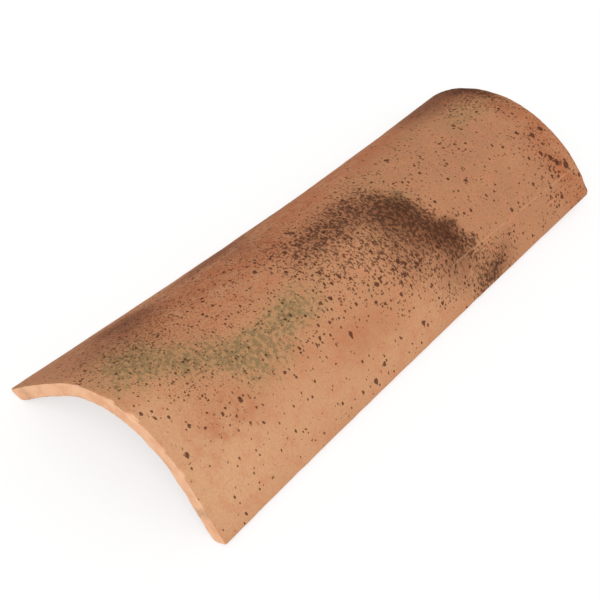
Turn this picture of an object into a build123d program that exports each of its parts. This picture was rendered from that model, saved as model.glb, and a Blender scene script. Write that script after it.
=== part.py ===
"""Clay barrel roof tile, in millimetres.

One moulded and fired piece: a tapered half-barrel wall. The wide end is broad, with open and
nearly straight flanks. The narrow end is one deep round arch, so that it tucks under the wide end
of the next tile up the slope. The tile rests on its two long feet. Each is cut flat along its
inner edge and bevelled from there up to its outer corner.

Frame: X across, Y along the tile with the wide end at -Y, Z up. The origin is on the floor, at
the middle of the tile's length and width.
"""

import os

from build123d import *

# Whole tile
length = 450.0
wall = 11.5

# Wide end: width across the outer corners of the feet, rise above the floor, crown arc and its
# half angle in degrees
wide_width = 198.0
wide_rise = 62.5
wide_crown_radius = 88.5
wide_crown_half_angle = 39.0

# Narrow end, measured the same way
narrow_width = 152.0
narrow_rise = 57.5
narrow_crown_radius = 90.5
narrow_crown_half_angle = 49.5

# Feet: the outer part of each is bevelled, from the outer corner down to the flat
bevel_height = 3.7
bevel_run = 8.0

# Clay moulded beyond the outer corner of the foot, which the trim takes off
trim_stock = 12.0

# Softened arrises round both ends and along the feet
arris_radius = 1.2


def wall_section(plane, width, rise, crown_radius, crown_half_angle):
    """Wall profile of one end: a crown arc, and on each side a flank arc that leaves it in line,
    passes the outer corner of the foot and runs on as stock. The trim cuts the two bevels and
    leaves a little stock below the floor."""
    with BuildSketch(plane) as section:
        with BuildLine():
            crown = CenterArc(
                center=(0, rise - crown_radius),
                radius=crown_radius,
                start_angle=90 - crown_half_angle,
                arc_size=2 * crown_half_angle,
            )
            flank_to_corner = TangentArc(
                crown @ 0,
                (width / 2, bevel_height),
                tangent=-(crown % 0),
                mode=Mode.PRIVATE,
            )
            stock_end = flank_to_corner @ (1 + trim_stock / flank_to_corner.length)
            TangentArc(crown @ 0, stock_end, tangent=-(crown % 0))
            TangentArc(crown @ 1, (-stock_end.X, stock_end.Y), tangent=crown % 1)
            offset(amount=wall, side=Side.LEFT)
        make_face()
        with BuildLine():
            bevel = Vector(bevel_run, bevel_height)
            flat_end = Vector(width / 2 - bevel_run, 0)
            beyond_corner = flat_end + width * bevel.normalized()
            below_floor = flat_end - bevel / 4
            Polyline(
                beyond_corner,
                below_floor,
                (-below_floor.X, below_floor.Y),
                (-beyond_corner.X, beyond_corner.Y),
                (-beyond_corner.X, -width),
                (beyond_corner.X, -width),
                close=True,
            )
        make_face(mode=Mode.SUBTRACT)
    return section.sketch


# Roof tile: the two end sections joined by straight generators, then cut flat at the floor
wide_end = wall_section(
    Plane.XZ.offset(length / 2),
    wide_width,
    wide_rise,
    wide_crown_radius,
    wide_crown_half_angle,
)
narrow_end = wall_section(
    Plane.XZ.offset(-length / 2),
    narrow_width,
    narrow_rise,
    narrow_crown_radius,
    narrow_crown_half_angle,
)
with BuildPart() as roof_tile:
    loft(sections=[wide_end, narrow_end], ruled=True)
    split(bisect_by=Plane.XY, keep=Keep.TOP)
    end_arrises = roof_tile.faces().filter_by(Plane.XZ).edges()
    foot_arrises = roof_tile.edges().filter_by_position(
        Axis.Z,
        -arris_radius,
        bevel_height + arris_radius,
    )
    fillet({*end_arrises, *foot_arrises}, radius=arris_radius)

roof_tile.part.label = "roof_tile"

os.makedirs("parts", exist_ok=True)
export_step(roof_tile.part, "parts/roof_tile.step")
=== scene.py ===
"""Looks of a clay barrel roof tile: one fired piece, seen from its wide end.

The tile's skin is one mesh in millimetres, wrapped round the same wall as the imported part. Every
point of it also knows its place on the flattened tile, and the clay's patterns are drawn there.
"""

import math

import bpy
import numpy as np
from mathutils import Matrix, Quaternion, Vector


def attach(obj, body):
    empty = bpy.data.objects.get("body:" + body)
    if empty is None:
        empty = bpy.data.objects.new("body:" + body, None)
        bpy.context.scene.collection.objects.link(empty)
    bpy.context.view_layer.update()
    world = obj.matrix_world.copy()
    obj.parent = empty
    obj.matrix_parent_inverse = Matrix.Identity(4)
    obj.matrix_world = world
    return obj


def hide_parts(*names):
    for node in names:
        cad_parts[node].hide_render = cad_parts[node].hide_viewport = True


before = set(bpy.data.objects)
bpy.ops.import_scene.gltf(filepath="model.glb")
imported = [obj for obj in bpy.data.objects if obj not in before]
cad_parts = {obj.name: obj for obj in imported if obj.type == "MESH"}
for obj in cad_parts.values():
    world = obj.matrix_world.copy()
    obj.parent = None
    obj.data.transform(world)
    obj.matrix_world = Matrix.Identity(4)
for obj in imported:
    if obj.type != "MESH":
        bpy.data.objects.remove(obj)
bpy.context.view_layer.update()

# One millimetre, in metres
MM = 0.001

# Wall, in millimetres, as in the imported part
LENGTH = 450.0
WALL = 11.5
WIDE_END = {"width": 198.0, "rise": 62.5, "crown_radius": 88.5, "crown_half_angle": 39.0}
NARROW_END = {"width": 152.0, "rise": 57.5, "crown_radius": 90.5, "crown_half_angle": 49.5}
BEVEL_HEIGHT = 3.7
BEVEL_RUN = 8.0

# Place of the joint between crown arc and flank arc, as a share of the way from crown line to foot
CROWN_SHARE = 0.55

# Waist of a hand-finished tile: how far the sides draw in at the middle of the length, and the
# distance from the centre line at which they do so in full
WAIST = 1.65
WAIST_REACH = 90.0

# How far the narrow end's cut runs back for each millimetre across, from its right side
NARROW_CUT_SKEW = 0.020

# How deep the skin and the cuts lie, so that their relief stays inside the true form
SKIN_ALLOWANCE = 0.35
CUT_ALLOWANCE = 0.45

# Outer corner of the narrow end's right foot, worn back and leaning outward: how far it rises and
# leans, and its reach along the foot and up the flank
CORNER_LIFT = 5.5
CORNER_LEAN = 2.2
CORNER_RUN = 70.0
CORNER_HEIGHT = 18.0

# Camera, fitted to the photograph's view of the tile's edges
CAMERA_AT = (0.6037, -0.9081, 1.0767)
CAMERA_AIM = (0.0041, -0.0393, 0.0300)
CAMERA_ROLL = 7.15
CAMERA_LENS = 126.0
CAMERA_SENSOR = 36.0

# Light
WORLD_LIGHT = 0.62
SUN_LIGHT = 1.35
SUN_FROM = (0.35, -0.55, 0.80)
SUN_SPREAD = 40.0


def smooth(low, high, value):
    """0 below low, 1 above high, and a soft step between."""
    share = np.clip((value - low) / (high - low), 0.0, 1.0)
    return share * share * (3.0 - 2.0 * share)


# A ripple repeats after this many bumps
RIPPLE_CELLS = 64


def ripple(x, y, size, seed):
    """Smooth random relief from -1 to 1, with bumps about size apart."""
    cells = RIPPLE_CELLS
    table = np.random.default_rng(seed).uniform(-1.0, 1.0, (cells, cells))
    column, row = np.floor(x / size).astype(int), np.floor(y / size).astype(int)
    share_x = smooth(0.0, 1.0, x / size - column)
    share_y = smooth(0.0, 1.0, y / size - row)
    near = table[column % cells, row % cells] * (1 - share_x)
    near = near + table[(column + 1) % cells, row % cells] * share_x
    far = table[column % cells, (row + 1) % cells] * (1 - share_x)
    far = far + table[(column + 1) % cells, (row + 1) % cells] * share_x
    return near * (1 - share_y) + far * share_y


def relief(x, y, layers):
    """Sum of ripples. Each layer is its height, its bump size and its seed."""
    return sum(height * ripple(x, y, size, seed) for height, size, seed in layers)


# Tile form

# Rounds that settle where the flank meets the foot's cut, and points that measure each arc
FOOT_ROUNDS = 14
SECTION_SAMPLES = 41


def flank_arc(end):
    """Radius and centre of the flank arc that leaves the crown arc in line and passes the outer
    corner of the foot."""
    half = math.radians(end["crown_half_angle"])
    radius = end["crown_radius"]
    joint = np.array([radius * math.sin(half), end["rise"] - radius + radius * math.cos(half)])
    inward = np.array([-math.sin(half), -math.cos(half)])
    chord = np.array([end["width"] / 2, BEVEL_HEIGHT]) - joint
    flank_radius = chord @ chord / (2 * chord @ inward)
    return flank_radius, joint + flank_radius * inward


def foot_angle(end, centre, reach):
    """Angle of the flank arc of this radius at which it meets the cut of the foot, whose outer part
    rises as a bevel."""
    height = np.zeros_like(reach)
    for _ in range(FOOT_ROUNDS):
        foot_x = centre[0] + np.sqrt(reach**2 - (height - centre[1]) ** 2)
        run = end["width"] / 2 - foot_x
        height = BEVEL_HEIGHT * np.clip(1 - run / BEVEL_RUN, 0.0, None)
    return np.arctan2(foot_x - centre[0], height - centre[1])


def section_point(end, across, depth):
    """X and Z on one end's section. across runs from -1 at the left foot to 1 at the right foot,
    and depth is the distance under the outer skin."""
    half = math.radians(end["crown_half_angle"])
    flank_radius, centre = flank_arc(end)
    share = np.abs(across)
    crown_angle = np.minimum(share / CROWN_SHARE, 1.0) * half
    crown_reach = end["crown_radius"] - depth
    crown_x = crown_reach * np.sin(crown_angle)
    crown_z = end["rise"] - end["crown_radius"] + crown_reach * np.cos(crown_angle)
    flank_reach = flank_radius - depth
    flank_share = np.clip((share - CROWN_SHARE) / (1 - CROWN_SHARE), 0.0, 1.0)
    flank_angle = half + flank_share * (foot_angle(end, centre, flank_reach) - half)
    flank_x = centre[0] + flank_reach * np.sin(flank_angle)
    flank_z = centre[1] + flank_reach * np.cos(flank_angle)
    on_crown = share <= CROWN_SHARE
    return np.sign(across) * np.where(on_crown, crown_x, flank_x), np.where(on_crown, crown_z, flank_z)


def wall_point(across, depth, along):
    """Point of the wall, in millimetres. along is 0 at the wide end and LENGTH at the narrow end."""
    share = along / LENGTH
    wide_x, wide_z = section_point(WIDE_END, across, depth)
    narrow_x, narrow_z = section_point(NARROW_END, across, depth)
    x = (1 - share) * wide_x + share * narrow_x
    z = (1 - share) * wide_z + share * narrow_z
    return np.stack([x, along - LENGTH / 2 + 0 * x, z], -1)


def skin_lengths(along):
    """Lengths of the outer skin's crown arc, from the crown line, and flank arc at each station."""
    lengths = []
    for first, last in ((0.0, CROWN_SHARE), (CROWN_SHARE, 1.0)):
        across = np.linspace(first, last, SECTION_SAMPLES)[None, :] + 0 * along[:, None]
        points = wall_point(across, np.zeros_like(across), along[:, None] + 0 * across)
        lengths.append(np.linalg.norm(np.diff(points, axis=1), axis=2).sum(axis=1))
    return lengths


def section_share(distance, crown_length, flank_length):
    """Turns a distance from the crown line along the skin into a place across the section."""
    on_crown = CROWN_SHARE * distance / crown_length
    on_flank = CROWN_SHARE + (1 - CROWN_SHARE) * (distance - crown_length) / flank_length
    return np.where(distance < crown_length, on_crown, on_flank)


# Skin mesh: the six sides of a block of cells, rounded at its arrises and wrapped round the wall

# Grid lines: close at the arrises, fine near the rims, and coarser along and across the body
ARRIS_STEPS = (0.0, 0.35, 0.8, 1.4, 2.2, 3.2, 4.4)
RIM_ZONE = 22.0
RIM_STEP = 1.2
BODY_STEP = 2.35
ACROSS_STEP = 1.5
DEPTH_LINES = (0.0, 0.4, 1.0, 2.2, 4.0, 5.8, 7.6, 9.4, 10.5, 11.1, WALL)

# A point this near to a side of the block lies on it
ON_SIDE = 0.01

# Rounded arrises: their radius and its relief, and what wear adds at the feet, in full up to the
# first distance from the foot and gone at the second
ARRIS_RADIUS = 1.15
ARRIS_RELIEF = ((0.35, 9.0, 11),)
FOOT_WEAR = 0.6
FOOT_WEAR_REACH = (2.0, 8.0)

# Chips on the wide end's outer arris: place across from the crown line, half width and depth. A chip
# is in full depth up to a share of its half width, and its outline is ragged
CHIPS = (
    (-6.0, 5.0, 3.0),
    (-12.0, 3.0, 1.4),
    (13.0, 6.0, 3.4),
    (24.0, 4.5, 1.2),
    (41.0, 3.5, 1.7),
    (62.0, 4.0, 2.0),
    (-38.0, 3.0, 1.6),
    (86.0, 4.0, 0.8),
)
CHIP_FLOOR = 0.35
CHIP_RELIEF = ((1.5, 2.5, 12),)

# Relief, in layers of height, bump size and seed: of the outer skin, of the inner skin with its long
# drag marks, of the cuts, whose bumps are short through the wall, and of the feet
OUTER_SWELL = ((0.40, 46.0, 1), (0.20, 17.0, 2))
OUTER_GRAIN = ((0.07, 5.0, 3), (0.035, 2.6, 4))
INNER_RELIEF = ((0.6, 30.0, 6), (0.16, 6.0, 7))
DRAG_RELIEF = ((0.10, 3.2, 5),)
DRAG_STRETCH = 9.0
CUT_WAVES = ((0.35, 11.0, 8),)
CUT_WAVES_SQUEEZE = 3.0
CUT_GRAIN = ((0.16, 3.1, 9),)
CUT_GRAIN_SQUEEZE = 2.0
FOOT_RELIEF = ((0.18, 13.0, 10),)

# How far from an end its cut still shapes the skin, and the mean height of the feet's bumps
CUT_REACH = 9.0
FOOT_HEIGHT = 0.18

# Share of the skin's relief that is left at the feet, and how far up the flank it comes back
RELIEF_AT_FOOT = 0.35
RELIEF_REACH = 6.0

# Fresh clay at worn arrises: the wear at which it starts to show and shows in full, the depths in
# the wall between which it fades out, and its strength on the feet
FRESH_WEAR = (0.35, 0.9)
FRESH_DEPTH = (0.3 * WALL, 0.7 * WALL)
FRESH_ON_FEET = 0.55


def graded(total, body_step, zone=0.0, zone_step=1.0):
    """Grid lines from 0 to total: close steps at both edges, then a fine zone, then a coarse run."""
    edge = list(ARRIS_STEPS)
    fine = list(np.arange(edge[-1] + zone_step, zone, zone_step))
    side = edge + fine
    count = round((total - 2 * side[-1]) / body_step)
    middle = list(np.linspace(side[-1], total - side[-1], count + 1)[1:-1])
    return np.array(side + middle + [total - place for place in reversed(side)])


def block_side(index, flip):
    """Faces of one side of the block, from its points' numbers, facing outward."""
    corners = (index[:-1, :-1], index[1:, :-1], index[1:, 1:], index[:-1, 1:])
    quads = np.stack(corners, -1).reshape(-1, len(corners))
    return quads[:, ::-1] if flip else quads


def skin_grid():
    """Grid lines across, through and along the wall, and the faces of the block's six sides."""
    girth = 2 * sum(skin_lengths(np.array([LENGTH / 2])))[0]
    across = graded(girth, ACROSS_STEP) / girth * 2 - 1
    depth = np.array(DEPTH_LINES)
    along = graded(LENGTH, BODY_STEP, RIM_ZONE, RIM_STEP)
    counts = (len(across), len(depth), len(along))
    index = -np.ones(counts, int)
    shell = np.ones(counts, bool)
    shell[1:-1, 1:-1, 1:-1] = False
    index[shell] = np.arange(shell.sum())
    faces = np.concatenate([
        block_side(index[:, 0, :], flip=False),
        block_side(index[:, -1, :], flip=True),
        block_side(index[0, :, :], flip=False),
        block_side(index[-1, :, :], flip=True),
        block_side(index[:, :, 0], flip=False),
        block_side(index[:, :, -1], flip=True),
    ])
    at = np.argwhere(shell)
    return across[at[:, 0]], depth[at[:, 1]], along[at[:, 2]], faces


def arris_radius(across_mm, depth, along, from_foot):
    """Local radius of the rounded arrises, larger where the rim is chipped or worn."""
    radius = ARRIS_RADIUS + relief(across_mm, along, ARRIS_RELIEF)
    radius = radius + FOOT_WEAR * (1 - smooth(*FOOT_WEAR_REACH, from_foot))
    near_wide_rim = (depth < WALL / 2) & (along < LENGTH / 2)
    ragged = across_mm + relief(across_mm, 0 * across_mm, CHIP_RELIEF)
    for place, half_width, chip in CHIPS:
        bite = 1 - smooth(CHIP_FLOOR, 1.0, np.abs(ragged - place) / half_width)
        radius = radius + np.where(near_wide_rim, chip * bite, 0.0)
    return radius


def round_block(from_foot, depth, along, girth, radius):
    """Rounds the block's arrises. Gives each point's new place in the block and how far it moved."""
    block = np.stack([from_foot, depth, along], -1)
    low = np.stack([radius, radius, radius], -1)
    high = np.stack([girth, WALL - radius, LENGTH - radius], -1)
    core = np.clip(block, low, high)
    out = block - core
    reach = np.linalg.norm(out, axis=1)
    scale = np.divide(radius, reach, out=np.zeros_like(reach), where=reach > 0)
    rounded = core + out * scale[:, None]
    return rounded, np.linalg.norm(rounded - block, axis=1)


def skin_relief(across_mm, depth, along, from_foot):
    """How far the skin bulges: pressed clay outside, rougher sanded clay inside."""
    outer = relief(across_mm, along, OUTER_SWELL) + relief(across_mm, along, OUTER_GRAIN)
    drag = relief(across_mm, along / DRAG_STRETCH, DRAG_RELIEF)
    inner = relief(across_mm, along, INNER_RELIEF) + drag
    share = RELIEF_AT_FOOT + (1 - RELIEF_AT_FOOT) * smooth(0.0, RELIEF_REACH, from_foot)
    return share * np.where(depth < WALL / 2, outer, inner)


def draw_in_waist(point, along):
    """Draws both sides in towards the middle of the length."""
    middle = 1 - (2 * along / LENGTH - 1) ** 2
    point[:, 0] *= 1 - WAIST * middle / WAIST_REACH


def wear_corner(point, across_mm, depth, along, from_foot):
    """Lifts the outer corner of the narrow end's right foot and leans it outward."""
    at_end = smooth(LENGTH - CORNER_RUN, LENGTH, along)
    at_foot = (1 - smooth(0.0, CORNER_HEIGHT, from_foot)) * (1 - smooth(0.0, WALL, depth))
    at_corner = np.where(across_mm > 0, at_end * at_foot, 0.0)
    point[:, 0] += CORNER_LEAN * at_corner
    point[:, 2] += CORNER_LIFT * at_corner


def cut_ends(point, across_mm, depth, along):
    """Sets both ends back by an uneven wire cut, the narrow one a little out of square."""
    end_sign = np.where(along < LENGTH / 2, -1.0, 1.0)
    at_end = 1 - smooth(0.0, CUT_REACH, np.minimum(along, LENGTH - along))
    waves = relief(across_mm, depth * CUT_WAVES_SQUEEZE, CUT_WAVES)
    grain = relief(across_mm, depth * CUT_GRAIN_SQUEEZE, CUT_GRAIN)
    run_back = NARROW_CUT_SKEW * (NARROW_END["width"] / 2 - point[:, 0])
    out_of_square = np.where(end_sign > 0, run_back, 0.0)
    point[:, 1] -= end_sign * at_end * (CUT_ALLOWANCE + waves + grain + out_of_square)


def set_feet(point, across_mm, depth, along, from_foot):
    """Keeps the tile above the floor, on feet that are a little uneven."""
    foot_relief = FOOT_HEIGHT + relief(across_mm + depth, along, FOOT_RELIEF)
    point[:, 2] = np.maximum(point[:, 2], 0.0) + np.where(from_foot < ON_SIDE, foot_relief, 0.0)


def cut_masks(depth, from_foot, worn):
    """Where fresh clay shows, at cuts and chips, and where the underside is."""
    outer = 1 - smooth(*FRESH_DEPTH, depth)
    cut = np.where((depth > ON_SIDE) & (depth < WALL - ON_SIDE), 1.0, 0.0)
    fresh = np.maximum(cut, smooth(*FRESH_WEAR, worn) * outer)
    fresh = np.where(from_foot < ON_SIDE, FRESH_ON_FEET, fresh)
    under = np.where(depth > WALL - ON_SIDE, 1.0, 0.0)
    return {"fresh": fresh, "under": under}


def make_tile_mesh():
    """Builds the tile's skin and writes its place on the flattened tile and its wear masks."""
    across, depth, along, faces = skin_grid()
    stations = np.unique(along)
    crown_length, flank_length = (np.interp(along, stations, part) for part in skin_lengths(stations))
    girth = crown_length + flank_length
    across_mm = across * girth
    from_foot = girth - np.abs(across_mm)

    radius = arris_radius(across_mm, depth, along, from_foot)
    rounded, worn = round_block(from_foot, depth, along, girth, radius)
    across = np.sign(across) * section_share(girth - rounded[:, 0], crown_length, flank_length)

    # The outer skin bulges outward and the inner skin inward, and the bulge fades out between them
    outward = 1 - 2 * depth / WALL
    sunk = SKIN_ALLOWANCE - skin_relief(across_mm, depth, along, from_foot)
    along_rounded = rounded[:, 2]
    point = wall_point(across, rounded[:, 1] + sunk * outward, along_rounded)
    draw_in_waist(point, along_rounded)
    wear_corner(point, across_mm, depth, along_rounded, from_foot)
    cut_ends(point, across_mm, depth, along)
    set_feet(point, across_mm, depth, along, from_foot)

    mesh = bpy.data.meshes.new("roof_tile_skin")
    mesh.from_pydata((point * MM).tolist(), [], faces.tolist())
    mesh.update()
    mesh.polygons.foreach_set("use_smooth", [True] * len(mesh.polygons))

    along_mid = along - LENGTH / 2
    write_vectors(mesh, "flat_place", np.stack([across_mm, along_mid, depth], -1))
    write_vectors(mesh, "mark", nearest_mark(across_mm, along_mid))
    write_masks(mesh, cut_masks(depth, from_foot, worn))
    write_masks(mesh, stain_masks(across_mm, along_mid))
    return mesh


# Where the clay is stained or tinted, and where light and shade are painted on it, on the flattened
# tile. Each patch is its centre along and across, its half length along and across, its turn in degrees
# and its strength
PATCHES = {
    "soot": (
        (66, 20, 24, 21, -30, 1.00),
        (72, 50, 22, 24, -30, 1.00),
        (90, 68, 14, 12, -40, 0.90),
        (96, 94, 27, 15, -20, 1.00),
        (22, -13, 30, 20, 0, 0.85),
        (50, 2, 26, 19, 0, 0.95),
        (-10, -8, 28, 20, 0, 0.75),
        (34, 36, 34, 30, 30, 0.62),
        (-28, -20, 28, 26, 0, 0.50),
        (-18, 20, 32, 26, 0, 0.50),
        (60, -28, 26, 16, -40, 0.60),
        (92, 30, 18, 26, -30, 0.42),
        (26, 60, 34, 16, 0, 0.34),
        (-204, -46, 26, 16, 10, 0.14),
        (-164, -44, 40, 26, -15, 0.50),
        (-100, -40, 46, 24, 0, 0.26),
        (58, 78, 30, 16, 0, 0.30),
        (8, 28, 26, 18, 0, 0.52),
        (198, -30, 22, 22, 0, 0.45),
        (-180, 6, 40, 18, 0, 0.16),
        (-110, 10, 54, 18, 0, 0.12),
        (220, -40, 13, 40, 0, 1.00),
        (206, 42, 20, 28, 0, 0.30),
        (192, 86, 30, 16, 0, 0.22),
        (-150, -78, 44, 18, 0, 0.50),
        (-56, -80, 44, 14, 0, 0.45),
    ),
    "brown": (
        (64, 80, 34, 18, 0, 0.40),
        (186, -58, 40, 26, 0, 0.60),
        (40, 44, 26, 22, 0, 0.35),
        (56, 12, 26, 24, -35, 0.90),
        (68, 48, 20, 26, -30, 1.00),
        (102, 94, 24, 15, -30, 0.60),
        (28, -8, 34, 22, 10, 0.50),
        (-10, -10, 26, 20, 0, 0.32),
        (-143, -80, 30, 22, 20, 0.70),
        (-183, -64, 44, 26, 10, 0.45),
        (-200, -105, 40, 16, 0, 0.30),
        (-51, -90, 44, 14, 8, 0.55),
        (-39, -60, 26, 26, 20, 0.40),
        (221, -54, 20, 46, 0, 0.95),
        (190, -73, 28, 28, 0, 0.50),
        (63, -90, 120, 12, 0, 0.35),
    ),
    "moss": (
        (-190, -24, 38, 26, 15, 0.95),
        (-164, 0, 36, 20, 20, 0.85),
        (-136, 20, 28, 18, 20, 0.95),
        (-105, 24, 34, 16, -5, 0.85),
        (-72, 28, 24, 14, -10, 0.95),
        (-116, 42, 34, 12, 0, 0.60),
        (-67, 11, 22, 10, 0, 0.55),
        (-36, 15, 26, 16, 0, 0.40),
        (70, 4, 14, 12, -30, 0.85),
        (64, -28, 30, 16, -30, 0.50),
        (-14, 49, 8, 6, 0, 0.65),
        (182, -19, 32, 16, -10, 0.65),
        (151, -44, 40, 12, 0, 0.50),
        (38, 19, 30, 14, 0, 0.40),
        (-160, -48, 44, 18, 0, 0.40),
    ),
    "orange": (
        (63, -62, 130, 22, 0, 0.85),
        (-57, -44, 70, 24, 0, 0.70),
        (-129, -55, 60, 30, 0, 0.60),
        (213, 55, 16, 80, 0, 0.75),
        (-57, 60, 70, 16, 20, 0.35),
        (-171, 51, 30, 18, 0, 0.55),
        (14, -86, 220, 22, 0, 0.42),
        (-77, -13, 60, 16, 0, 0.35),
    ),
    # Paler clay, partly its own tone and partly painted light on the near right flank, which faces the
    # light
    "pale_and_lit": (
        (-204, 84, 50, 40, 0, 0.95),
        (-150, 92, 64, 34, 0, 0.60),
        (-212, 30, 24, 34, 0, 0.75),
        (-97, 65, 40, 20, -10, 0.30),
        (-34, 95, 90, 18, 0, 0.50),
        (-97, 38, 70, 24, 0, 0.25),
        (34, 82, 60, 16, 0, 0.30),
    ),
    # Duller clay, partly its own tone and partly painted shade towards the far end and on the left flank
    "dull_and_shaded": (
        (164, 16, 90, 100, 0, 0.90),
        (94, 6, 60, 70, 0, 0.55),
        (-57, -34, 160, 34, 0, 0.30),
    ),
    "grime": (
        (-140, -82, 80, 30, 0, 0.90),
        (-40, -78, 70, 24, 0, 0.80),
        (205, -60, 30, 34, 0, 0.90),
        (-149, -37, 90, 44, 0, 0.90),
        (-26, -30, 80, 38, 0, 0.85),
        (-138, 20, 80, 34, 0, 0.60),
        (-57, 38, 60, 30, 0, 0.35),
        (84, -24, 110, 44, 0, 0.55),
        (153, 36, 90, 50, 0, 0.40),
        (210, 45, 26, 60, 0, 0.60),
    ),
}

# How steeply a patch ends at its outline, and the relief by which its outline wanders along and across
PATCH_FALLOFF = 1.3
WANDER_ALONG = ((5.0, 26.0, 14), (2.5, 10.0, 15))
WANDER_ACROSS = ((5.0, 26.0, 16), (2.5, 10.0, 17))

# Far edge of the soot band, a line on the flattened tile: where it crosses the crown line along the
# tile, how far it moves along for each millimetre across, its relief, and how softly it ends
SOOT_EDGE_AT_CROWN = 69.0
SOOT_EDGE_SLOPE = 0.43
SOOT_EDGE_RELIEF = ((4.0, 9.0, 13),)
SOOT_EDGE_BLUR = (-4.0, 7.0)

# Reach of this edge: across the tile, with the blur at each side, and the end of the clean stretch
# beyond it. What it takes of the soot and of the brown
SOOT_EDGE_LEFT = -34.0
SOOT_EDGE_LEFT_BLUR = 8.0
SOOT_EDGE_RIGHT = 73.0
SOOT_EDGE_RIGHT_BLUR = 2.0
CLEAN_END = 150.0
SOOT_TAKEN = 0.8
BROWN_TAKEN = 0.95

# Share of its size that a mark's dark core takes
MARK_SHARE = 0.8

# Single dark marks: place along and across, and size, in millimetres
MARKS = (
    (-218, 15, 3.5), (-213, 23, 3.0), (-213, 55, 4.5), (-216, 64, 2.4), (-198, 41, 3.5),
    (-189, 49, 2.6), (-181, 42, 2.2), (-172, 49, 3.4), (-175, 31, 2.4), (-164, 56, 2.2),
    (-154, 49, 4.8), (-158, 66, 2.8), (-149, 71, 2.8), (-180, 79, 2.6), (-203, 70, 2.0),
    (-91, 47, 3.2), (-83, 47, 2.0), (-76, 64, 2.4), (-64, -20, 3.8), (-50, -3, 3.6),
    (-73, -43, 3.8), (-43, 33, 4.2), (-38, 23, 3.2), (-29, 48, 3.2), (-48, 62, 4.6),
    (-52, 32, 3.2), (-24, 25, 4.2), (-18, 31, 3.4), (-14, 56, 3.6), (-4, 46, 4.8),
    (-8, 61, 3.2), (-33, 14, 4.0), (9, 63, 3.8), (15, 57, 2.8), (15, 90, 4.6),
    (-34, 95, 3.6), (-48, 101, 5.0), (-198, 111, 3.0), (-78, 104, 2.2), (6, 102, 2.4),
    (102, -1, 3.2), (124, 27, 4.0), (101, -32, 4.4), (142, 66, 4.2), (166, -17, 3.6),
    (166, -10, 3.2), (175, 24, 3.2), (196, 22, 4.2), (205, 31, 5.2), (216, 31, 5.2),
    (199, 46, 4.2), (204, 53, 5.0), (207, 59, 6.0), (214, 65, 6.6), (188, 71, 3.2),
    (195, 83, 4.2), (174, 61, 3.4), (222, 78, 4.0), (152, 94, 3.0), (184, 77, 2.4),
    (64, -34, 3.0), (-12, -30, 5.4), (-14, -35, 3.0), (138, -6, 2.6), (147, -2, 3.0),
    (24, 43, 4.8), (28, 47, 4.0), (16, 45, 3.2), (37, 53, 4.4), (32, 33, 3.2),
)


def nearest_mark(across_mm, along):
    """For each point the way across and along from the nearest mark, and that mark's radius."""
    best = np.full(across_mm.shape, np.inf)
    found = np.zeros(across_mm.shape + (3,))
    for mark_along, mark_across, size in MARKS:
        d_across, d_along = across_mm - mark_across, along - mark_along
        gap = np.hypot(d_across, d_along) - size / 2
        nearer = gap < best
        best = np.where(nearer, gap, best)
        offset = np.stack([d_across, d_along, np.full_like(best, MARK_SHARE * size / 2)], -1)
        found[nearer] = offset[nearer]
    return found


def write_vectors(mesh, name, vectors):
    """Writes three numbers a vertex."""
    layer = mesh.attributes.new(name, "FLOAT_VECTOR", "POINT")
    layer.data.foreach_set("vector", vectors.astype(np.float32).ravel())


def write_masks(mesh, masks):
    """Writes each mask as one number a vertex."""
    for name, value in masks.items():
        layer = mesh.attributes.new(name, "FLOAT", "POINT")
        layer.data.foreach_set("value", value.astype(np.float32))


def patch_mask(patches, across_mm, along):
    """How strongly one kind of patch covers each point."""
    bare = np.ones_like(across_mm)
    for centre_along, centre_across, half_along, half_across, turn, strength in patches:
        cosine, sine = math.cos(math.radians(turn)), math.sin(math.radians(turn))
        d_along, d_across = along - centre_along, across_mm - centre_across
        long_way = (cosine * d_along + sine * d_across) / half_along
        cross_way = (cosine * d_across - sine * d_along) / half_across
        bare = bare * (1 - strength * np.exp(-((long_way**2 + cross_way**2) ** PATCH_FALLOFF)))
    return 1 - bare


def beyond_band(across_mm, along):
    """1 on the clean stretch beyond the soot band's far edge, else 0."""
    edge = SOOT_EDGE_AT_CROWN + SOOT_EDGE_SLOPE * across_mm + relief(across_mm, along, SOOT_EDGE_RELIEF)
    left, right = SOOT_EDGE_LEFT_BLUR, SOOT_EDGE_RIGHT_BLUR
    in_reach = smooth(SOOT_EDGE_LEFT - left, SOOT_EDGE_LEFT + left, across_mm)
    in_reach = in_reach * (1 - smooth(SOOT_EDGE_RIGHT - right, SOOT_EDGE_RIGHT + right, across_mm))
    return smooth(*SOOT_EDGE_BLUR, along - edge) * in_reach * (along < CLEAN_END)


def stain_masks(across_mm, along):
    """One mask for each kind of stain or tint; the pale and dull ones are partly painted light and
    painted shade.
    """
    along_wandered = along + relief(across_mm, along, WANDER_ALONG)
    across_wandered = across_mm + relief(across_mm, along, WANDER_ACROSS)
    masks = {}
    for name, patches in PATCHES.items():
        masks[name] = patch_mask(patches, across_wandered, along_wandered)
    beyond = beyond_band(across_mm, along)
    masks["soot"] = masks["soot"] * (1 - SOOT_TAKEN * beyond)
    masks["brown"] = masks["brown"] * (1 - BROWN_TAKEN * beyond)
    return masks


# Clay material

# The screen's transfer curve: a straight stretch for dark tones, then a power
DARK_END = 0.04045
DARK_SLOPE = 12.92
CURVE_SHIFT = 0.055
CURVE_POWER = 2.4


def linear(red, green, blue):
    """A screen colour, 0 to 255, as the linear colour that Blender wants."""
    parts = []
    for part in (red / 255, green / 255, blue / 255):
        light = ((part + CURVE_SHIFT) / (1 + CURVE_SHIFT)) ** CURVE_POWER
        parts.append(part / DARK_SLOPE if part <= DARK_END else light)
    return (*parts, 1.0)


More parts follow.
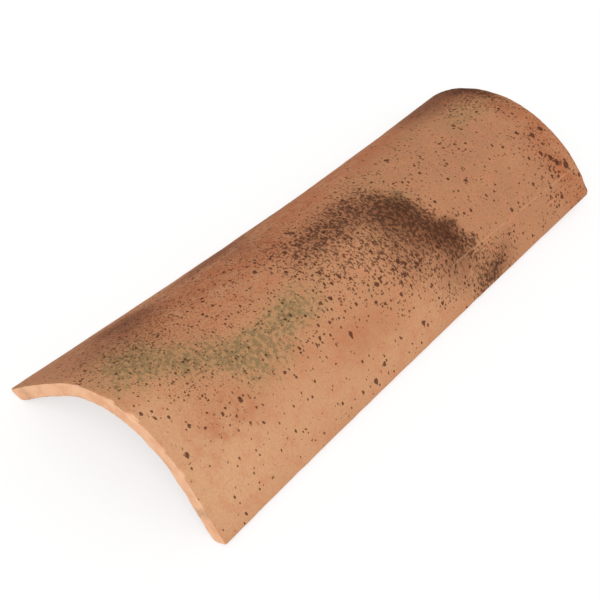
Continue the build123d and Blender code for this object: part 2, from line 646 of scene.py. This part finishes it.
CLAY = linear(200, 144, 105)
# Paler clay: on the scratches its own tone, on the near right flank partly painted light
CLAY_PALE_AND_LIT = linear(222, 171, 129)
# Duller clay: partly its own tone, partly painted shade towards the far end and on the left flank
CLAY_DULL_AND_SHADED = linear(184, 131, 96)
CLAY_ORANGE = linear(182, 110, 72)
CLAY_BLUSH = linear(208, 139, 102)
BROWN = linear(104, 60, 38)
SOOT = linear(60, 38, 26)
SPOT = linear(78, 42, 27)
RUST = linear(140, 74, 48)
MOSS = linear(112, 106, 72)
MOSS_TINT = linear(176, 140, 96)
FRESH = linear(242, 190, 152)
FRESH_DEEP = linear(222, 160, 120)
SMEAR = linear(150, 132, 104)
UNDER = linear(208, 152, 114)
UNDER_DARK = linear(176, 122, 88)

# Shine of the clay, and its roughness, which grows with its grain
CLAY_SHINE = 0.08
CLAY_ROUGHNESS = 0.72
GRAIN_ROUGHNESS = 0.2

# Bump: what pores and grain add to its height, what specks take off it, its strength, and its full
# height in metres
PORE_BUMP = 0.6
GRAIN_BUMP = 0.8
SPECK_BUMP = 0.25
BUMP_STRENGTH = 0.15
BUMP_HEIGHT = 0.6 * MM

# Places of the sockets for colours on a Mix node
MIX_SHARE = 0
MIX_BOTTOM = 6
MIX_TOP = 7
MIX_RESULT = 2


class Nodes:
    """Short ways to add shader nodes to one material or world."""

    def __init__(self, owner):
        self.tree = owner.node_tree

    def add(self, kind, inputs=None, **settings):
        """Adds a node with these settings, fed with these inputs."""
        node = self.tree.nodes.new(kind)
        for key, value in settings.items():
            setattr(node, key, value)
        for key, value in (inputs or {}).items():
            self.feed(node.inputs[key], value)
        return node

    def feed(self, socket, value):
        """Links another node's socket to this socket, or writes a constant on it."""
        if isinstance(value, bpy.types.NodeSocket):
            self.tree.links.new(value, socket)
        else:
            socket.default_value = value

    def math(self, operation, first, second=0.0):
        return self.add("ShaderNodeMath", {0: first, 1: second}, operation=operation).outputs[0]

    def plus(self, first, second):
        return self.math("ADD", first, second)

    def minus(self, first, second):
        return self.math("SUBTRACT", first, second)

    def times(self, first, second):
        return self.math("MULTIPLY", first, second)

    def scaled(self, value, by, base):
        """A value times a number, plus a base."""
        return self.plus(self.times(value, by), base)

    def larger(self, first, second):
        return self.math("MAXIMUM", first, second)

    def vector(self, operation, first, second):
        return self.add("ShaderNodeVectorMath", {0: first, 1: second}, operation=operation).outputs[0]

    def parts(self, vector):
        """The three numbers of a vector."""
        return self.add("ShaderNodeSeparateXYZ", {"Vector": vector}).outputs

    def step(self, value, low, high):
        """0 at low, 1 at high, and a soft step between. It falls where low is above high."""
        inputs = {"Value": value, "From Min": low, "From Max": high}
        return self.add("ShaderNodeMapRange", inputs, interpolation_type="SMOOTHSTEP").outputs[0]

    def lay(self, colour, top, share, strength=1.0, blend="MIX"):
        """Lays a top colour over a colour, by a share that strength scales."""
        inputs = {MIX_SHARE: self.times(share, strength), MIX_BOTTOM: colour, MIX_TOP: top}
        node = self.add("ShaderNodeMix", inputs, data_type="RGBA", blend_type=blend)
        return node.outputs[MIX_RESULT]

    def noise(self, place, scale, detail=2.0, roughness=0.5):
        """Cloudy noise, as one number and as a colour."""
        inputs = {"Vector": place, "Scale": scale, "Detail": detail, "Roughness": roughness}
        return self.add("ShaderNodeTexNoise", inputs).outputs

    def attribute(self, name):
        """What the mesh holds under this name, as one number and as a vector."""
        return self.add("ShaderNodeAttribute", attribute_name=name).outputs

    def seen_straight(self):
        """1 for rays that show a backdrop to the camera, also through a mirror or glass, else 0."""
        rays = self.add("ShaderNodeLightPath").outputs
        reflected = self.larger(rays["Is Glossy Ray"], rays["Is Transmission Ray"])
        return self.larger(rays["Is Camera Ray"], reflected)


# How far each seed shifts a pattern, in cells, and the middle of a noise value
SEED_SHIFT = (7.31, 3.17, 1.73)
NOISE_MIDDLE = 0.5

# Grains: where noise rises above this threshold when cover is 0, and what a cover of 1 takes off it
GRAIN_THRESHOLD = 0.74
GRAIN_SPAN = 0.30

# Specks: how far their outlines shake, how much small ones prevail, and their soft edge, in cells
SPECK_SHAKE = 0.55
SPECK_BIAS = 2.5
SPECK_EDGE = (-0.02, 0.07)

# Single marks: their width across as a share, how ragged they are, and their soft edge
MARK_NARROW = 0.8
MARK_RAGGED = 3.2
MARK_EDGE = (-0.10, 0.35)

# How gently a scratch starts and stops
SCRATCH_FADE = 4.0

# Stretch of the clay's streaks, which run across the tile
STREAK_SCALE = (0.5, 1.0, 1.0)


class Clay(Nodes):
    """Nodes of the clay material, with its patterns drawn on the flattened tile."""

    def __init__(self, material):
        super().__init__(material)
        self.place = self.attribute("flat_place")["Vector"]
        self.mask = {name: self.attribute(name)["Fac"] for name in [*PATCHES, "fresh", "under"]}
        self.broad = self.noise(self.place, scale=0.022, detail=3.0, roughness=0.55)["Fac"]
        self.medium = self.noise(self.place, scale=0.09, detail=3.0, roughness=0.6)["Fac"]
        self.fine = self.noise(self.place, scale=0.55, detail=4.0, roughness=0.65)["Fac"]
        streak_place = self.vector("MULTIPLY", self.place, STREAK_SCALE)
        self.streaky = self.noise(streak_place, scale=0.30, detail=5.0, roughness=0.72)["Fac"]

    def cells(self, size, stretch, seed):
        """The place counted in cells of this size, longer across the tile by stretch."""
        scale = (1 / (size * stretch), 1 / size, 1 / size)
        shift = tuple(seed * part for part in SEED_SHIFT)
        return self.vector("ADD", self.vector("MULTIPLY", self.place, scale), shift)

    def cover(self, soot, grime, base):
        """Weighted sum of the soot and grime masks and a base value."""
        total = self.scaled(self.mask["soot"], by=soot, base=base)
        return self.plus(total, self.times(self.mask["grime"], grime))

    def stain(self, name, lift, low, high):
        """A stain's mask, broken up by streaks, which fill in by lift where the mask is strong."""
        streaks = self.plus(self.streaky, self.times(self.mask[name], lift))
        return self.times(self.step(streaks, low, high), self.mask[name])

    def grains(self, size, stretch, cover, seed, soft=0.05):
        """Ragged grains about size wide. cover runs from 0, where they are rare, to 1, where they
        join up."""
        value = self.noise(self.cells(size, stretch, seed), scale=1.0, detail=1.6, roughness=0.55)["Fac"]
        threshold = self.minus(GRAIN_THRESHOLD, self.times(cover, GRAIN_SPAN))
        return self.step(self.minus(value, threshold), low=-soft / 2, high=soft / 2)

    def specks(self, cell, stretch, density, small, large, seed):
        """Separate dark specks, at most one a cell: density is the share of cells that hold one,
        and small and large are the specks' radii as shares of a cell."""
        place = self.cells(cell, stretch, seed)
        wobble = self.vector("SUBTRACT", self.noise(place, scale=1.7)["Color"], (NOISE_MIDDLE,) * 3)
        shaken = self.vector("ADD", place, self.vector("MULTIPLY", wobble, (SPECK_SHAKE,) * 3))
        found = self.add("ShaderNodeTexVoronoi", {"Vector": shaken, "Scale": 1.0, "Randomness": 1.0})
        draws = self.add("ShaderNodeSeparateColor", {"Color": found.outputs["Color"]}).outputs
        present = self.math("LESS_THAN", draws[0], density)
        bigness = self.math("POWER", draws[1], SPECK_BIAS)
        radius = self.scaled(bigness, by=large - small, base=small)
        inside = self.minus(radius, found.outputs["Distance"])
        return self.times(self.step(inside, *SPECK_EDGE), present)

    def marks(self):
        """The single marks, with ragged outlines, a little longer across the tile."""
        across, along, radius = self.parts(self.attribute("mark")["Vector"])
        noise = self.noise(self.place, scale=0.55)["Fac"]
        ragged = self.times(self.minus(noise, NOISE_MIDDLE), MARK_RAGGED)
        across_squared = self.math("POWER", self.times(across, MARK_NARROW), 2.0)
        gap = self.math("SQRT", self.plus(across_squared, self.math("POWER", along, 2.0)))
        return self.step(self.plus(self.minus(radius, gap), ragged), *MARK_EDGE)

    def line(self, across, half_width, core=0.0):
        """A soft line along the tile, this far across, in full up to core from its middle."""
        off_line = self.math("ABSOLUTE", self.minus(self.parts(self.place)[0], across))
        return self.step(off_line, low=half_width, high=core)

    def scratch(self, across, start, stop, half_width):
        """A thin straight line along the tile, broken up by noise."""
        along = self.parts(self.place)[1]
        after = self.step(along, low=start - SCRATCH_FADE, high=start + SCRATCH_FADE)
        before = self.step(along, low=stop + SCRATCH_FADE, high=stop - SCRATCH_FADE)
        uneven = self.noise(self.place, scale=0.12, detail=3.0, roughness=0.7)["Fac"]
        line = self.line(across, half_width, core=half_width / 3)
        line = self.times(line, self.step(uneven, low=0.38, high=0.56))
        return self.times(line, self.times(after, before))


# Grey smears on the cut ends: place across, half width and strength
SMEARS = (
    (94.0, 7.0, 0.45),
    (-104.0, 6.0, 0.40),
)

# Thin pale scratches: place across, start and end along, half width and strength
SCRATCHES = (
    (-66.0, -85.0, -37.0, 1.3, 0.50),
    (70.5, 65.0, 225.0, 0.9, 0.30),
)


def skin_colour(clay):
    """Fired skin: peach, and in places blushed or orange. It is laid duller towards the far end and on
    the left flank and paler on the near right flank, partly its own tone and partly painted shade and
    painted light, and darker in the grain's hollows as painted shade.
    """
    # Painted shade, in part: the far end and the left flank are laid duller
    dull_and_shaded = clay.times(clay.mask["dull_and_shaded"], clay.step(clay.broad, low=0.2, high=0.55))
    colour = clay.lay(CLAY, CLAY_DULL_AND_SHADED, dull_and_shaded)
    # Painted light, in part: the near right flank is laid paler
    colour = clay.lay(colour, CLAY_PALE_AND_LIT, clay.mask["pale_and_lit"], strength=0.9)
    colour = clay.lay(colour, CLAY_BLUSH, clay.step(clay.medium, low=0.46, high=0.70), strength=0.50)
    mottle = clay.step(clay.plus(clay.broad, clay.medium), low=0.65, high=1.15)
    colour = clay.lay(colour, CLAY_ORANGE, clay.times(clay.mask["orange"], mottle), strength=0.9)
    # Painted shade: the grain's hollows, where the bump is low, are laid darker and more orange
    hollow_shade = clay.step(clay.fine, low=0.60, high=0.36)
    return clay.lay(colour, CLAY_ORANGE, hollow_shade, strength=0.16, blend="MULTIPLY")


def add_stains(clay, colour):
    """Moss and brown stains, broken up by the clay's grain."""
    moss = clay.stain("moss", lift=0.25, low=0.46, high=0.74)
    colour = clay.lay(colour, MOSS_TINT, moss, strength=0.75)
    cover = clay.scaled(moss, by=1.1, base=-0.10)
    tufts = clay.grains(size=3.4, stretch=1.0, cover=cover, seed=7, soft=0.26)
    colour = clay.lay(colour, MOSS, tufts, strength=0.60)
    brown = clay.stain("brown", lift=0.30, low=0.32, high=0.72)
    return clay.lay(colour, BROWN, brown, strength=0.92)


def add_soot(clay, colour):
    """Rusty dust, then soot grains that join up in the band, and fine dots of soot."""
    cover = clay.scaled(clay.mask["grime"], by=0.65, base=0.05)
    dust = clay.grains(size=1.0, stretch=1.2, cover=cover, seed=1)
    colour = clay.lay(colour, RUST, dust, strength=0.50)
    cover = clay.scaled(clay.mask["soot"], by=1.2, base=-0.28)
    soot = clay.grains(size=2.4, stretch=1.4, cover=cover, seed=3, soft=0.16)
    colour = clay.lay(colour, SOOT, soot, strength=0.68)
    density = clay.cover(soot=1.0, grime=0.28, base=0.03)
    dots = clay.specks(cell=1.7, stretch=1.2, density=density, small=0.26, large=0.62, seed=2)
    return clay.lay(colour, SPOT, dots, strength=0.72)


def under_colour(clay, small_specks):
    """Underside: plain sanded clay."""
    colour = clay.lay(UNDER, UNDER_DARK, clay.step(clay.medium, low=0.35, high=0.7))
    colour = clay.lay(colour, CLAY_ORANGE, clay.step(clay.fine, low=0.5, high=0.75), strength=0.35)
    return clay.lay(colour, SPOT, small_specks, strength=0.5)


def cut_colour(clay):
    """Cut ends and chips: fresh, lighter clay with small pits and grey smears."""
    colour = clay.lay(FRESH, FRESH_DEEP, clay.step(clay.medium, low=0.4, high=0.7), strength=0.6)
    pits = clay.specks(cell=2.2, stretch=1.0, density=0.10, small=0.10, large=0.32, seed=6)
    colour = clay.lay(colour, CLAY_ORANGE, pits, strength=0.45)
    for across, half_width, strength in SMEARS:
        smear = clay.times(clay.line(across, half_width), clay.step(clay.fine, low=0.36, high=0.56))
        colour = clay.lay(colour, SMEAR, smear, strength)
    return colour


def skin_bump(clay, specks):
    """Pores and grain of the skin, with the specks a little sunk."""
    pores = clay.noise(clay.place, scale=1.4, detail=4.0, roughness=0.7)["Fac"]
    height = clay.plus(clay.times(pores, PORE_BUMP), clay.times(clay.fine, GRAIN_BUMP))
    height = clay.minus(height, clay.times(specks, SPECK_BUMP))
    inputs = {"Strength": BUMP_STRENGTH, "Distance": BUMP_HEIGHT, "Height": height}
    return clay.add("ShaderNodeBump", inputs).outputs["Normal"]


def make_clay():
    """Unglazed fired clay: mottled skin with stains, soot and fly-ash specks, a plain underside, and
    fresh lighter clay where it is cut or chipped."""
    material = bpy.data.materials.new("fired_clay")
    material.use_nodes = True
    clay = Clay(material)
    density = clay.cover(soot=1.0, grime=0.14, base=0.14)
    small = clay.specks(cell=2.9, stretch=1.25, density=density, small=0.14, large=0.46, seed=4)
    density = clay.cover(soot=0.55, grime=0.08, base=0.13)
    middling = clay.specks(cell=5.6, stretch=1.25, density=density, small=0.08, large=0.29, seed=5)
    specks = clay.larger(clay.larger(small, middling), clay.marks())

    colour = add_soot(clay, add_stains(clay, skin_colour(clay)))
    colour = clay.lay(colour, SPOT, specks, strength=0.85)
    for across, start, stop, half_width, strength in SCRATCHES:
        colour = clay.lay(colour, CLAY_PALE_AND_LIT, clay.scratch(across, start, stop, half_width), strength)
    colour = clay.lay(colour, under_colour(clay, small), clay.mask["under"])
    colour = clay.lay(colour, cut_colour(clay), clay.mask["fresh"])

    shader = clay.tree.nodes["Principled BSDF"]
    clay.feed(shader.inputs["Base Color"], colour)
    clay.feed(shader.inputs["Specular IOR Level"], CLAY_SHINE)
    roughness = clay.scaled(clay.fine, by=GRAIN_ROUGHNESS, base=CLAY_ROUGHNESS)
    clay.feed(shader.inputs["Roughness"], roughness)
    clay.feed(shader.inputs["Normal"], skin_bump(clay, specks))
    return material


def make_tile():
    """The tile's skin as one piece that rides on the root body."""
    mesh = make_tile_mesh()
    mesh.materials.append(make_clay())
    tile = bpy.data.objects.new("fired_tile", mesh)
    bpy.context.scene.collection.objects.link(tile)
    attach(tile, "root")
    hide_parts("roof_tile")


# Floor, light and camera

WHITE = (1.0, 1.0, 1.0, 1.0)
FLOOR_COLOUR = (0.92, 0.92, 0.92, 1.0)
FLOOR_SIZE = 30.0
FLOOR_ROUGHNESS = 0.9

# Share of the floor that glows where it is seen straight, and how brightly
GLOW_SHARE = 0.6
GLOW = 1.10


def make_floor():
    """Plain white floor that keeps a light shadow of the tile."""
    bpy.ops.mesh.primitive_plane_add(size=FLOOR_SIZE, location=(0, 0, 0))
    floor = bpy.context.object
    floor.name = "floor"
    material = bpy.data.materials.new("floor_white")
    material.use_nodes = True
    nodes = Nodes(material)
    shader = nodes.tree.nodes["Principled BSDF"]
    nodes.feed(shader.inputs["Base Color"], FLOOR_COLOUR)
    nodes.feed(shader.inputs["Roughness"], FLOOR_ROUGHNESS)
    nodes.feed(shader.inputs["Specular IOR Level"], 0.0)
    glow = nodes.add("ShaderNodeEmission", {"Color": WHITE, "Strength": GLOW})
    share = nodes.times(nodes.seen_straight(), GLOW_SHARE)
    blend = nodes.add("ShaderNodeMixShader", {0: share, 1: shader.outputs[0], 2: glow.outputs[0]})
    nodes.feed(nodes.tree.nodes["Material Output"].inputs["Surface"], blend.outputs[0])
    floor.data.materials.append(material)


def make_light():
    """Even surroundings that show white, and one broad soft sun from the camera's side."""
    world = bpy.data.worlds.new("studio")
    bpy.context.scene.world = world
    world.use_nodes = True
    nodes = Nodes(world)
    background = nodes.tree.nodes["Background"]
    nodes.feed(background.inputs["Color"], WHITE)
    strength = nodes.scaled(nodes.seen_straight(), by=1 - WORLD_LIGHT, base=WORLD_LIGHT)
    nodes.feed(background.inputs["Strength"], strength)
    sun = bpy.data.lights.new("sun", "SUN")
    sun.energy = SUN_LIGHT
    sun.angle = math.radians(SUN_SPREAD)
    lamp = bpy.data.objects.new("sun", sun)
    lamp.rotation_mode = "QUATERNION"
    lamp.rotation_quaternion = Vector(SUN_FROM).to_track_quat("Z", "Y")
    bpy.context.scene.collection.objects.link(lamp)


def make_camera():
    """Camera at the photograph's viewing angle."""
    data = bpy.data.cameras.new("camera")
    data.lens = CAMERA_LENS
    data.sensor_width = CAMERA_SENSOR
    camera = bpy.data.objects.new("camera", data)
    bpy.context.scene.collection.objects.link(camera)
    camera.location = CAMERA_AT
    view = (Vector(CAMERA_AIM) - Vector(CAMERA_AT)).to_track_quat("-Z", "Y")
    roll = Quaternion((0, 0, 1), math.radians(CAMERA_ROLL))
    camera.rotation_mode = "QUATERNION"
    camera.rotation_quaternion = view @ roll
    bpy.context.scene.camera = camera


make_tile()
make_floor()
make_light()
make_camera()
bpy.context.scene.view_settings.view_transform = "Standard"
